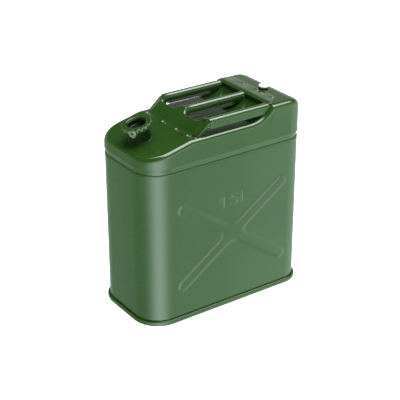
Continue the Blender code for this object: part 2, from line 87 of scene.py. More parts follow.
studio = {
    "floorGrey": 0.80,
    "floorGlow": 0.80,
    "overheadRadiance": 9.0,
    "overheadCentre": (0.34, 0.05),
    "overheadHalf": (0.44, 0.52),
    "overheadSoft": 0.14,
    # radiance by height above the horizon: a white backdrop with a dark ceiling
    "backdrop": [(0.0, 0.50), (0.30, 0.50), (0.342, 0.44), (0.358, 0.36), (0.375, 0.24), (0.391, 0.15),
                 (0.407, 0.06), (0.43, 0.02), (1.0, 0.015)],
    # radiance by compass direction below the horizon, in degrees from +x
    "ground": [(-180, 0.70), (-173, 0.85), (-160, 1.5), (-148, 2.4), (-136, 3.5), (-124, 4.4), (-112, 4.5),
               (-99, 3.8), (-86, 2.6), (-73, 1.7), (-62, 1.25), (-56, 1.05), (-53, 1.2), (-50, 1.5), (-35, 1.6),
               (0, 0.9), (60, 0.6), (110, 0.45), (125, 0.35), (150, 0.40), (180, 0.70)],
    # how much brighter the backdrop is towards -y, and how the ground light falls off straight down
    "frontLift": [(-180, 1.0), (-165, 1.0), (-140, 5.5), (-85, 6.5), (-60, 3.4), (-45, 2.4), (-20, 1.0),
                  (180, 1.0)],
    "steepShade": [(-1.0, 0.15), (-0.94, 0.25), (-0.86, 0.75), (-0.58, 1.0), (0.0, 1.0)],
    "groundTint": (0.87, 1.05, 1.0),
    "horizonBlend": (-0.16, 0.02),
    "lowestPanel": 0.05,        # the overhead panel is cut off this close to the horizon
}
areaLight("endLight", (-0.62, 0.42, 0.22), (-0.16, 0.05, 0.16), (0.30, 0.40), 6.0)
areaLight("sideLight", (0.80, -0.62, 0.26), (0.12, -0.08, 0.18), (0.40, 0.40), 5.0)


def rampOf(tree, value, stops, low, high):
    top = max(level for place, level in stops)
    ramp = tree.nodes.new("ShaderNodeValToRGB")
    elements = ramp.color_ramp.elements
    spots = [((place - low) / (high - low), level / top) for place, level in stops]
    elements[0].position, elements[0].color = spots[0][0], (*[spots[0][1]] * 3, 1)
    elements[1].position, elements[1].color = spots[-1][0], (*[spots[-1][1]] * 3, 1)
    for place, level in spots[1:-1]:
        elements.new(place).color = (level, level, level, 1)
    spread = tree.nodes.new("ShaderNodeMapRange")
    spread.inputs["From Min"].default_value = low
    spread.inputs["From Max"].default_value = high
    tree.links.new(value, spread.inputs["Value"])
    tree.links.new(spread.outputs["Result"], ramp.inputs["Fac"])
    return mathNode(tree, "MULTIPLY", ramp.outputs["Color"], top)


def mathNode(tree, operation, first, second):
    node = tree.nodes.new("ShaderNodeMath")
    node.operation = operation
    for socket, value in zip(node.inputs, (first, second)):
        if isinstance(value, (int, float)):
            socket.default_value = value
        else:
            tree.links.new(value, socket)
    return node.outputs["Value"]


def softEdge(tree, value, start, end):
    node = tree.nodes.new("ShaderNodeMapRange")
    node.interpolation_type = "SMOOTHSTEP"
    node.inputs["From Min"].default_value = start
    node.inputs["From Max"].default_value = end
    tree.links.new(value, node.inputs["Value"])
    return node.outputs["Result"]


def makeStudioWorld():
    s = studio
    world = bpy.data.worlds.new("studioWorld")
    world.use_nodes = True
    tree = world.node_tree
    coords = tree.nodes.new("ShaderNodeTexCoord")
    parts = tree.nodes.new("ShaderNodeSeparateXYZ")
    tree.links.new(coords.outputs["Generated"], parts.inputs["Vector"])
    x, y, z = (parts.outputs[name] for name in "XYZ")
    compass = mathNode(tree, "MULTIPLY", mathNode(tree, "ARCTAN2", y, x), 180 / math.pi)
    above = mathNode(tree, "MULTIPLY", rampOf(tree, z, s["backdrop"], 0.0, 1.0),
                     rampOf(tree, compass, s["frontLift"], -180, 180))
    ground = mathNode(tree, "MULTIPLY", rampOf(tree, compass, s["ground"], -180, 180),
                      rampOf(tree, z, s["steepShade"], -1.0, 0.0))
    sky = softEdge(tree, z, *s["horizonBlend"])
    below = mathNode(tree, "MULTIPLY", ground, mathNode(tree, "SUBTRACT", 1.0, sky))
    height = mathNode(tree, "MAXIMUM", z, s["lowestPanel"])
    inside = []
    for value, centre, half in zip((x, y), s["overheadCentre"], s["overheadHalf"]):
        along = mathNode(tree, "DIVIDE", value, height)
        off = mathNode(tree, "ABSOLUTE", mathNode(tree, "SUBTRACT", along, centre), 0.0)
        inside.append(softEdge(tree, off, half + s["overheadSoft"], max(half - s["overheadSoft"], 0.0)))
    overhead = mathNode(tree, "MULTIPLY", mathNode(tree, "MULTIPLY", *inside), s["overheadRadiance"])
    lit = mathNode(tree, "ADD", mathNode(tree, "MULTIPLY", above, sky), overhead)
    channels = tree.nodes.new("ShaderNodeCombineXYZ")
    for socket, tint in zip(channels.inputs, s["groundTint"]):
        tree.links.new(mathNode(tree, "ADD", lit, mathNode(tree, "MULTIPLY", below, tint)), socket)
    tree.links.new(channels.outputs["Vector"], tree.nodes["Background"].inputs["Color"])
    scene.world = world


makeStudioWorld()
print("camera and lights placed")


def newMaterial(name):
    material = bpy.data.materials.new(name)
    material.use_nodes = True
    tree = material.node_tree
    return material, tree, tree.nodes["Principled BSDF"]


def addNoise(tree, scale, detail=2.0, stretch=(1, 1, 1)):
    coords = tree.nodes.new("ShaderNodeTexCoord")
    mapping = tree.nodes.new("ShaderNodeMapping")
    mapping.inputs["Scale"].default_value = stretch
    noise = tree.nodes.new("ShaderNodeTexNoise")
    noise.inputs["Scale"].default_value = scale
    noise.inputs["Detail"].default_value = detail
    tree.links.new(coords.outputs["Object"], mapping.inputs["Vector"])
    tree.links.new(mapping.outputs["Vector"], noise.inputs["Vector"])
    return noise.outputs["Fac"]


def addRange(tree, value, low, high, start=0.3, end=0.7):
    node = tree.nodes.new("ShaderNodeMapRange")
    node.inputs["From Min"].default_value = start
    node.inputs["From Max"].default_value = end
    node.inputs["To Min"].default_value = low
    node.inputs["To Max"].default_value = high
    tree.links.new(value, node.inputs["Value"])
    return node.outputs["Result"]


def addRamp(tree, value, stops):
    ramp = tree.nodes.new("ShaderNodeValToRGB")
    elements = ramp.color_ramp.elements
    elements[0].position, elements[0].color = stops[0][0], (*stops[0][1], 1)
    elements[1].position, elements[1].color = stops[-1][0], (*stops[-1][1], 1)
    for place, colour in stops[1:-1]:
        elements.new(place).color = (*colour, 1)
    tree.links.new(value, ramp.inputs["Fac"])
    return ramp.outputs["Color"]


def addBump(tree, shader, layers):
    last = None
    for height, strength, distance in layers:
        bump = tree.nodes.new("ShaderNodeBump")
        bump.inputs["Strength"].default_value = strength
        bump.inputs["Distance"].default_value = distance
        tree.links.new(height, bump.inputs["Height"])
        if last is not None:
            tree.links.new(last, bump.inputs["Normal"])
        last = bump.outputs["Normal"]
    tree.links.new(last, shader.inputs["Normal"])


def stovedEnamel(name, deep, pale, roughness=(0.22, 0.30), coat=1.0):
    material, tree, shader = newMaterial(name)
    cloud = addNoise(tree, 9.0, 3.0)
    shade = addRamp(tree, cloud, [(0.32, deep), (0.68, pale)])
    tree.links.new(shade, shader.inputs["Base Color"])
    handled = addNoise(tree, 32.0, 4.0)
    tree.links.new(addRange(tree, handled, *roughness), shader.inputs["Roughness"])
    peel = addNoise(tree, 950.0, 1.0)
    ripple = addNoise(tree, 16.0, 1.0)
    addBump(tree, shader, [(ripple, 0.10, 0.0012), (peel, 0.05, 0.0003)])
    shader.inputs["Specular IOR Level"].default_value = 0.09
    shader.inputs["Coat Weight"].default_value = coat
    shader.inputs["Coat Roughness"].default_value = 0.07
    shader.inputs["Coat IOR"].default_value = 1.5
    return material


greenEnamel = stovedEnamel("greenEnamel", (0.0142, 0.0462, 0.0061), (0.0162, 0.0518, 0.0073))
# a paler, rougher green than the can's enamel, used on the seal eye
paleEnamel = stovedEnamel("paleGreenEnamel", (0.075, 0.120, 0.065), (0.095, 0.150, 0.080), (0.42, 0.52))
# painted shade: a near-black copy of the green enamel, put on the neck and the closure dish, which wear the can's
# own green
paintedShadeEnamel = stovedEnamel("paintedShadeGreenEnamel", (0.0030, 0.0120, 0.0012), (0.0040, 0.0150, 0.0016),
                            (0.3, 0.4), 0.22)


def mouldedRubber():
    material, tree, shader = newMaterial("blackRubber")
    grain = addNoise(tree, 420.0, 3.0)
    tree.links.new(addRamp(tree, grain, [(0.3, (0.010, 0.010, 0.011)), (0.7, (0.024, 0.024, 0.025))]),
                   shader.inputs["Base Color"])
    tree.links.new(addRange(tree, grain, 0.48, 0.66), shader.inputs["Roughness"])
    addBump(tree, shader, [(grain, 0.15, 0.0002)])
    return material


def platedSteel(name, grey, roughness, metal):
    material, tree, shader = newMaterial(name)
    cloud = addNoise(tree, 60.0, 3.0)
    low = tuple(0.86 * part for part in grey)
    tree.links.new(addRamp(tree, cloud, [(0.3, low), (0.7, grey)]), shader.inputs["Base Color"])
    turningMarks = addNoise(tree, 900.0, 2.0, (1, 1, 0.04))
    tree.links.new(addRange(tree, turningMarks, *roughness), shader.inputs["Roughness"])
    addBump(tree, shader, [(turningMarks, 0.06, 0.0001)])
    shader.inputs["Metallic"].default_value = metal
    return material


blackRubber = mouldedRubber()
# plated zinc, but only half metallic: its near-white diffuse share is a painted reflection of the white backdrop on
# the vent screw head
zincWithPaintedReflection = platedSteel("zincWithPaintedReflection", (0.93, 0.93, 0.92), (0.42, 0.52), 0.55)
dullZinc = platedSteel("dullZinc", (0.62, 0.63, 0.62), (0.30, 0.42), 1.0)
print("materials mixed")


def makePiece(name, points, faces, material, node, body, sharpAngle=38):
    mesh = bpy.data.meshes.new(name)
    mesh.from_pydata([tuple(point) for point in points], [], faces)
    mesh.validate()
    mesh.materials.append(material)
    return finishPiece(name, mesh, node, body, sharpAngle)


def finishPiece(name, mesh, node, body, sharpAngle=38):
    mesh.shade_smooth()
    mesh.set_sharp_from_angle(angle=math.radians(sharpAngle))
    piece = bpy.data.objects.new(name, mesh)
    scene.collection.objects.link(piece)
    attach(piece, body)
    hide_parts(node)
    return piece


def faceOutward(piece, topUp=False):
    shape = bmesh.new()
    shape.from_mesh(piece.data)
    bmesh.ops.recalc_face_normals(shape, faces=shape.faces)
    if topUp:  # an open shell can come out inside out
        top = max(shape.faces, key=lambda face: face.calc_center_median().z)
        if top.normal.z < 0:
            bmesh.ops.reverse_faces(shape, faces=shape.faces)
    shape.to_mesh(piece.data)
    shape.free()
    return piece


def bridgeRows(rows, closedAcross=True, closedAlong=False):
    count = len(rows[0])
    faces = []
    last = len(rows) if closedAlong else len(rows) - 1
    for row in range(last):
        low = row * count
        high = (row + 1) % len(rows) * count
        for i in range(count if closedAcross else count - 1):
            j = (i + 1) % count
            faces.append((low + i, low + j, high + j, high + i))
    points = [point for row in rows for point in row]
    return points, faces


def cutRound(piece, radius, place, low, high):
    shape = bmesh.new()
    bmesh.ops.create_cone(shape, cap_ends=True, segments=72, radius1=radius, radius2=radius, depth=high - low)
    bmesh.ops.translate(shape, verts=shape.verts, vec=(0, 0, (low + high) / 2))
    shape.transform(place)
    mesh = bpy.data.meshes.new("roundCutter")
    shape.to_mesh(mesh)
    shape.free()
    cutter = bpy.data.objects.new("roundCutter", mesh)
    scene.collection.objects.link(cutter)
    modifier = piece.modifiers.new("hole", "BOOLEAN")
    modifier.operation = "DIFFERENCE"
    modifier.solver = "EXACT"
    modifier.object = cutter
    bpy.context.view_layer.update()
    made = bpy.data.meshes.new_from_object(piece.evaluated_get(bpy.context.evaluated_depsgraph_get()))
    piece.modifiers.clear()
    piece.data = made
    bpy.data.objects.remove(cutter)


def smoothStep(low, high, value):
    t = np.clip((value - low) / (high - low), 0, 1)
    return t * t * (3 - 2 * t)


# plan outline shared by the body, the pan and the cover
plan = {
    "frontRadius": 0.047,
    "rearRadius": 0.035,
    "crossHeight": 0.0016,
}
shellLow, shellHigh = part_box("body_shell")
bodyLength = shellHigh.x - shellLow.x
bodyWidth = shellHigh.y - shellLow.y - 2 * plan["crossHeight"]


def planHalf(offset, sideXs, cornerSteps):
    points = []
    corners = ((plan["frontRadius"], -1, math.pi), (plan["rearRadius"], 1, math.pi / 2))
    for radius, sign, startTurn in corners:
        centre = (sign * (bodyLength / 2 - radius), bodyWidth / 2 - radius)
        arc = []
        for step in range(cornerSteps + 1):
            angle = startTurn - step * math.pi / 2 / cornerSteps
            nx, ny = math.cos(angle), math.sin(angle)
            arc.append((centre[0] + (radius + offset) * nx, centre[1] + (radius + offset) * ny, nx, ny))
        points += arc
        if sign < 0:
            points += [(x, bodyWidth / 2 + offset, 0.0, 1.0) for x in sideXs]
    return points


def planLoop(offset, sideXs, cornerSteps):
    half = planHalf(offset, sideXs, cornerSteps)
    loop = half + [(x, -y, nx, -ny) for x, y, nx, ny in reversed(half)]
    return np.array(loop)


# body shell with its pressed crosses and capacity mark
bodyShell = {
    "wall": 0.001,
    "crossCentre": (0.009, 0.138),
    "crossHalfLength": 0.134,
    "crossAngle": math.radians(34.7),
    "crossHalfWidth": 0.0088,
    "crossRamp": 0.0052,
    "crossFillet": 0.016,
    "markDepth": 0.0008,
    "markStroke": 0.0029,
    "markRamp": 0.0014,
    "coarseStep": 0.0016,       # mesh spacing over the cross
    "fineStep": 0.0007,         # mesh spacing over the mark
    "lipDepth": 0.010,          # how far the wall's inside is modelled
}


def segmentDistance(x, z, start, end):
    ax, az = start
    bx, bz = end
    lengthSquared = (bx - ax) ** 2 + (bz - az) ** 2
    t = np.clip(((x - ax) * (bx - ax) + (z - az) * (bz - az)) / lengthSquared, 0, 1)
    return np.hypot(x - ax - t * (bx - ax), z - az - t * (bz - az))


def strokeDistance(x, z, path):
    return np.min([segmentDistance(x, z, a, b) for a, b in zip(path, path[1:])], axis=0)


def arcPath(centre, radius, start, end, steps=12):
    turns = [math.radians(start + (end - start) * step / steps) for step in range(steps + 1)]
    return [(centre[0] + radius * math.cos(t), centre[1] + radius * math.sin(t)) for t in turns]


def markStrokes():
    one = [(-0.0180, 0.2062), (-0.0112, 0.2108), (-0.0112, 0.1912)]
    five = [(0.0175, 0.2106), (0.0066, 0.2106), (0.0050, 0.2030)]
    five += arcPath((0.0105, 0.1974), 0.0068, 128, -148)
    ell = [(0.0268, 0.2108), (0.0268, 0.1912), (0.0405, 0.1912)]
    return [one, five, ell]


def sidePressing(x, z, withMark):
    settings = bodyShell
    u = x - settings["crossCentre"][0]
    v = z - settings["crossCentre"][1]
    reach = settings["crossHalfLength"] - settings["crossHalfWidth"]
    ex, ez = reach * math.cos(settings["crossAngle"]), reach * math.sin(settings["crossAngle"])
    first = segmentDistance(u, v, (-ex, -ez), (ex, ez)) - settings["crossHalfWidth"]
    second = segmentDistance(u, v, (-ex, ez), (ex, -ez)) - settings["crossHalfWidth"]
    blend = settings["crossFillet"]
    mix = np.clip(0.5 + 0.5 * (second - first) / blend, 0, 1)
    distance = second * (1 - mix) + first * mix - blend * mix * (1 - mix)
    ramp = settings["crossRamp"]
    height = plan["crossHeight"] * (1 - smoothStep(-ramp / 2, ramp / 2, distance))
    if withMark:
        stroke = np.min([strokeDistance(x, z, path) for path in markStrokes()], axis=0)
        stroke = stroke - settings["markStroke"] / 2
        ramp = settings["markRamp"]
        height = height - settings["markDepth"] * (1 - smoothStep(-ramp / 2, ramp / 2, stroke))
    return height


def makeBodyShell():
    settings = bodyShell
    coarse, fine = settings["coarseStep"], settings["fineStep"]
    sideXs = np.concatenate([np.arange(-0.1135, -0.0222, coarse), np.arange(-0.0222, 0.0450, fine),
                             np.arange(0.0455, 0.1275, coarse)])
    loop = planLoop(0.0, sideXs, 22)
    heights = np.concatenate([np.linspace(shellLow.z, 0.050, 10), np.arange(0.0516, 0.1870, coarse),
                              np.arange(0.1870, 0.2150, fine), np.arange(0.2160, 0.2270, coarse),
                              np.linspace(0.2300, shellHigh.z - 0.0006, 12), [shellHigh.z]])
    x, y, nx, ny = (loop[:, i] for i in range(4))
    flat = np.abs(ny) > 0.9999
    rows = []
    for z in heights:
        push = np.zeros(len(loop))
        for near in (False, True):
            chosen = flat & ((y < 0) == near)
            push[chosen] = sidePressing(x[chosen], np.full(chosen.sum(), z), near)
        top = 0.0004 if z == shellHigh.z else 0.0
        rows.append(np.column_stack([x + nx * (push - top), y + ny * (push - top), np.full(len(loop), z)]))
    wall = settings["wall"]
    for z in (shellHigh.z, shellHigh.z - settings["lipDepth"]):
        rows.append(np.column_stack([x - nx * wall, y - ny * wall, np.full(len(loop), z)]))
    points, faces = bridgeRows(rows)
    faces = [tuple(reversed(face)) for face in faces]
    return makePiece("bodySkin", points, faces, greenEnamel, "body_shell", "can", 50)


makeBodyShell()
print("body shell pressed")


# bottom pan and its rolled bead
bottomPan = {
    "outset": 0.0040,
    "beadHeight": 0.0090,
    "floorHeight": 0.010,
    "wallInside": 0.0019,
}


def makeBottomPan():
    s = bottomPan
    out = s["outset"]
    inner = -s["wallInside"]
    path = [(0.0005, s["beadHeight"] - 0.0016), (0.0011, s["beadHeight"] - 0.0005), (0.0019, s["beadHeight"])]
    path += [(0.0027, s["beadHeight"] - 0.0003), (out - 0.0006, s["beadHeight"] - 0.0010),
             (out - 0.0001, s["beadHeight"] - 0.0022), (out, s["beadHeight"] - 0.0040)]
    path += [(out, 0.0030), (out - 0.0004, 0.0014), (out - 0.0014, 0.0004), (out - 0.0026, 0.0)]
    floor = s["floorHeight"]
    path += [(inner + 0.0016, 0.0), (inner + 0.0004, 0.0006), (inner, 0.0020), (inner, floor - 0.004)]
    path += [(inner - 0.0006, floor - 0.0018), (inner - 0.0022, floor - 0.0004), (inner - 0.0045, floor)]
    sideXs = np.linspace(-0.10, 0.11, 12)
    rows = []
    for offset, z in path:
        loop = planLoop(offset, sideXs, 20)
        rows.append([(px, py, z) for px, py in loop[:, :2]])
    points, faces = bridgeRows(rows)
    base = (len(rows) - 1) * len(rows[0])
    count = len(rows[0])
    for i in range(count // 2 - 1):  # pan floor, strips across the can
        faces.append((base + i, base + i + 1, base + count - 2 - i, base + count - 1 - i))
    faces = [tuple(reversed(face)) for face in faces]
    pan = makePiece("footPan", points, faces, greenEnamel, "bottom_pan", "can", 60)
    return faceOutward(pan)


makeBottomPan()
print("foot bead rolled")


# top cover: front slope, hand well, riser and rear deck
topCover = {
    "deck": 0.3284,
    "kinkX": -0.0733,
    "kinkSoft": 0.004,
    "slope": math.tan(math.radians(13.3)),
    "riserX": 0.046,
    "riserRadius": 0.057,
    "rearDeck": 0.3515,
    "rearSoft": 0.0022,
    "rearRound": 0.028,
    "outset": 0.0009,
    "fillet": 0.0080,
    "seam": 0.2910,
    "spigotInset": 0.0013,
    "neckHole": 0.0192,
    "ventHole": 0.0045,
    "filletSteps": 12,
    "across": 26,               # strips across the deck, from side to side
}


def deckHeight(x):
    s = topCover
    drop = s["slope"] * (s["kinkX"] - x)
    soft = s["kinkSoft"]
    gap = s["kinkX"] - x
    if gap > soft:
        front = drop
    elif gap > -soft:
        front = s["slope"] * (gap + soft) ** 2 / (4 * soft)
    else:
        front = 0.0
    z = s["deck"] - front
    if x > s["riserX"]:
        reach = min(x - s["riserX"], s["riserRadius"] * 0.97)
        z = s["deck"] + s["riserRadius"] - math.sqrt(s["riserRadius"] ** 2 - reach ** 2)
        soft = s["rearSoft"]
        blend = min(max(0.5 + 0.5 * (s["rearDeck"] - z) / soft, 0), 1)
        z = s["rearDeck"] * (1 - blend) + z * blend - soft * blend * (1 - blend) * 0.5
    over = x - (bodyLength / 2 + s["outset"] - s["rearRound"])
    if over > 0:
        z = s["rearDeck"] - s["rearRound"] + math.sqrt(max(s["rearRound"] ** 2 - over ** 2, 0))
    return z


def makeTopCover():
    s = topCover
    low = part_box("top_cover")[0].z
    sideXs = sorted({round(v, 5) for v in np.concatenate([
        np.arange(-0.112, -0.084, 0.007), np.arange(-0.080, -0.066, 0.001), np.arange(-0.064, 0.044, 0.006),
        np.arange(0.044, 0.100, 0.0016), np.arange(0.102, 0.127, 0.005)])})
    cornerSteps = 22
    seam = s["seam"]
    inset = -s["spigotInset"]
    lower = [(inset - 0.001, low + 0.006), (inset - 0.001, low), (inset, low)]
    lower += [(inset, seam - 0.0014), (inset + 0.0003, seam - 0.0006)]
    lower += [(-0.0002, seam - 0.0003), (s["outset"] - 0.0003, seam - 0.0002), (s["outset"], seam + 0.0004)]
    lower += [(s["outset"], seam + 0.0022), (s["outset"] - 0.0004, seam + 0.0034)]
    skirt = s["outset"] - 0.0004
    rows = []
    for offset, z in lower:
        rows.append([(px, py, z) for px, py in planLoop(offset, sideXs, cornerSteps)[:, :2]])
    for step in range(s["filletSteps"] + 1):
        angle = math.pi / 2 * step / s["filletSteps"]
        inset = s["fillet"] * (1 - math.cos(angle))
        drop = s["fillet"] * (1 - math.sin(angle))
        loop = planLoop(skirt - inset, sideXs, cornerSteps)[:, :2]
        rows.append([(px, py, deckHeight(px) - drop) for px, py in loop])
    points, faces = bridgeRows(rows)
    faces = [tuple(reversed(face)) for face in faces]
    count = len(rows[0])
    base = (len(rows) - 1) * count
    across = s["across"]
    stripStart = len(points)
    rim = rows[-1]
    for i in range(count // 2):
        far, near = rim[i], rim[count - 1 - i]
        for step in range(1, across):
            t = step / across
            points.append((far[0], far[1] + (near[1] - far[1]) * t, far[2]))

    def deckIndex(i, step):
        if step == 0:
            return base + i
        if step == across:
            return base + count - 1 - i
        return stripStart + i * (across - 1) + step - 1

    for i in range(count // 2 - 1):
        for step in range(across):
            faces.append((deckIndex(i, step), deckIndex(i, step + 1),
                          deckIndex(i + 1, step + 1), deckIndex(i + 1, step)))
    skin = makePiece("coverSkin", points, faces, greenEnamel, "top_cover", "can", 42)
    return faceOutward(skin, topUp=True)


cover = makeTopCover()
print("top cover drawn")


# turned pieces round the neck and the vent
ringJoint = jointNamed["ring_turn"]
neckAxis = Vector(ringJoint["axis"])
neckLean = Vector((0, 0, 1)).rotation_difference(neckAxis).to_matrix().to_4x4()
neckPlace = Matrix.Translation(ringJoint["pos_m"]) @ neckLean
ventJoint = jointNamed["vent_turn"]
ventPlace = Matrix.Translation((ventJoint["pos_m"][0], ventJoint["pos_m"][1], 0))


def turnPiece(name, profile, steps, material, place, node, body, closed=True, bevel=0.0):
    shape = bmesh.new()
    columns = []
    for step in range(steps):
        angle = 2 * math.pi * step / steps
        columns.append([(r * math.cos(angle), r * math.sin(angle), z) for r, z in profile])
    count = len(profile)
    made = []
    centres = {i: shape.verts.new((0, 0, profile[i][1])) for i in range(count) if profile[i][0] < 1e-9}
    for column in columns:
        made.append([centres[i] if i in centres else shape.verts.new(point) for i, point in enumerate(column)])
    for step in range(steps):
        here, there = made[step], made[(step + 1) % steps]
        for i in range(count if closed else count - 1):
            j = (i + 1) % count
            corners = []
            for vert in (here[i], here[j], there[j], there[i]):
                if vert not in corners:
                    corners.append(vert)
            if len(corners) > 2:
                shape.faces.new(corners)
    bmesh.ops.recalc_face_normals(shape, faces=shape.faces)
    if bevel:
        sharp = [e for e in shape.edges if len(e.link_faces) == 2 and e.calc_face_angle() > math.radians(35)]
        bmesh.ops.bevel(shape, geom=sharp, offset=bevel, segments=3, profile=0.5, affect="EDGES",
                        clamp_overlap=True)
    shape.transform(place)
    mesh = bpy.data.meshes.new(name)
    shape.to_mesh(mesh)
    shape.free()
    mesh.materials.append(material)
    return finishPiece(name, mesh, node, body)


stack = {
    "neckRadius": 0.019,
    "wall": 0.0015,
    "mouth": 0.0252,
    "gap": 0.0003,
    "gasket": 0.001,
    "collarFlange": 0.0008,
    "closureFlange": 0.001,
    "lip": 0.0018,
    "ringHeight": 0.0075,
    "ringRadius": 0.026,
    "ringHole": 0.017,
    "weld": 0.0016,
    "dish": 0.0110,
    "threads": 3,
    "threadPitch": 0.002,
    "funnelDepth": 0.016,
    "spoutWall": 0.0007,
    "funnelMouth": 0.0113,      # inside radius at the funnel's lower end
    "pipeRadius": 0.011,
    "pipeBore": 0.010,
    "pipeLength": 0.135,
}


def makeNeckGroup():
    s = stack
    radius, bore, mouth, gap = s["neckRadius"], s["neckRadius"] - s["wall"], s["mouth"], s["gap"]
    weld = [(radius + s["weld"] * (1 - math.sin(a)), s["weld"] * (1 - math.cos(a)) - 0.0001)
            for a in (math.radians(d) for d in (0, 18, 36, 54, 72, 90))]
    profile = [(bore, mouth), (radius, mouth)]
    level = mouth - 0.0007
    for thread in range(s["threads"]):
        crest = radius + 0.0006
        profile += [(radius, level + 0.0007), (crest, level + 0.0002), (crest, level - 0.0002),
                    (radius, level - 0.0007)]
        level -= s["threadPitch"]
    profile += [(radius, level), (radius, s["weld"] + 0.001)] + list(reversed(weld))
    profile += [(radius + s["weld"], -0.0006), (radius, -0.0006), (radius, -0.006), (bore, -0.006)]
    # painted shade: the welded neck gets the near-black copy of the can's green enamel
    turnPiece("weldedNeck", profile, 96, paintedShadeEnamel, neckPlace, "filler_neck", "can")

    gasketLow = mouth + gap
    gasketTop = gasketLow + s["gasket"]
    profile = [(radius, gasketTop), (radius, gasketLow), (bore, gasketLow), (bore, gasketTop)]
    turnPiece("flatGasket", profile, 72, blackRubber, neckPlace, "neck_gasket", "can", bevel=0.0002)

    collarLow = gasketTop + gap
    collarTop = collarLow + s["collarFlange"]
    head = bore - 0.0007
    foot = collarLow - s["funnelDepth"]
    tube = s["funnelMouth"]
    wall = s["spoutWall"]
    profile = [(radius, collarTop), (radius, collarLow), (head, collarLow), (head, foot + 0.004)]
    profile += [(tube + wall, foot - 0.002), (tube + wall, foot - 0.012), (tube, foot - 0.012), (tube, foot - 0.002)]
    profile += [(head - wall, foot + 0.004), (head - wall, collarTop)]
    turnPiece("spoutFunnel", profile, 72, dullZinc, neckPlace, "spout_collar", "spout", bevel=0.0002)
    tubeTop = foot - 0.003
    tubeEnd = tubeTop - s["pipeLength"]
    outside, inside = s["pipeRadius"], s["pipeBore"]
    profile = [(outside, tubeTop), (outside, tubeEnd), (inside, tubeEnd), (inside, tubeTop)]
    turnPiece("spoutPipe", profile, 48, dullZinc, neckPlace, "spout_tube", "spout", bevel=0.0002)

    closureLow = collarTop + gap
    closureTop = closureLow + s["closureFlange"]
    ringTop = closureTop + gap + s["lip"]
    dish = head - wall - 2 * gap
    floor = ringTop - s["dish"]
    inner = dish - 0.001
    rounding = [(inner + 0.0022 * (1 - math.sin(a)), closureTop - 0.0022 * (1 - math.cos(a)))
                for a in (math.radians(d) for d in (0, 22, 45, 67, 90))]
    lower = [(inner - 0.0028 * (1 - math.cos(a)), floor + 0.0030 * (1 - math.sin(a)))
             for a in (math.radians(d) for d in (0, 22, 45, 67, 90))]
    profile = [(0, floor - 0.0006), (inner - 0.0090, floor - 0.0006), (inner - 0.0060, floor)]
    profile += list(reversed(lower)) + list(reversed(rounding))
    profile += [(radius, closureTop), (radius, closureLow), (dish, closureLow)]
    profile += [(dish, floor - 0.0002), (dish - 0.003, floor - 0.0014), (0, floor - 0.0016)]
    # painted shade: the closure dish gets the near-black copy of the green enamel, so its hollow reads dark
    turnPiece("closureDish", profile, 84, paintedShadeEnamel, neckPlace, "closure_disc", "closure",
              closed=False)
    return ringTop


ringTop = makeNeckGroup()


# lobed ring and its seal eye
capRing = {
    "lobes": 18,
    "lobeDepth": 0.0019,
    "edge": 0.0011,
    "bore": 0.0201,
    "lobeSteps": 16,
    "sharpness": 1.6,           # above 1 the grooves are narrower than the lobes
}


def makeCapRing():
    s = capRing
    foot = ringTop - stack["ringHeight"]
    lipUnder = ringTop - stack["lip"]
    outer, hole, edge = stack["ringRadius"], stack["ringHole"], s["edge"]
    section = []  # radius, height, share of the lobe depth
    for degrees in (0, 30, 60, 90):
        a = math.radians(degrees)
        section.append((outer - edge * (1 - math.sin(a)), foot + edge * (1 - math.cos(a)), 1.0))
    for degrees in (90, 60, 30, 0):
        a = math.radians(degrees)
        section.append((outer - edge * (1 - math.sin(a)), ringTop - edge * (1 - math.cos(a)), 1.0))
    section += [(outer - 0.0030, ringTop, 0.75), (outer - 0.0045, ringTop, 0.25)]
    section += [(outer - 0.0058, ringTop, 0.0), (hole + 0.0014, ringTop, 0.0)]
    section += [(hole + 0.0005, ringTop - 0.0003, 0.0), (hole, ringTop - 0.0009, 0.0)]
    section += [(hole, lipUnder, 0.0), (s["bore"], lipUnder, 0.0), (s["bore"], foot, 0.0)]
    around = s["lobes"] * s["lobeSteps"]
    rows = []
    for step in range(around):
        angle = 2 * math.pi * step / around
        groove = (0.5 - 0.5 * math.cos(s["lobes"] * angle)) ** s["sharpness"]
        row = []
        for r, z, share in section:
            radius = r - s["lobeDepth"] * groove * share
            row.append(neckPlace @ Vector((radius * math.cos(angle), radius * math.sin(angle), z)))
        rows.append(row)
    points, faces = bridgeRows(rows, closedAcross=True, closedAlong=True)
    ring = makePiece("grippedRing", points, faces, greenEnamel, "cap_ring", "ring", 50)
    return faceOutward(ring)


makeCapRing()

sealEye = {
    "angle": math.radians(221),
    "halfWidth": 0.0062,
    "reach": 0.0130,
    "hole": 0.0027,
    "holeDrop": 0.0044,
    "thickness": 0.0014,
    "edge": 0.0004,
    "around": 40,
}


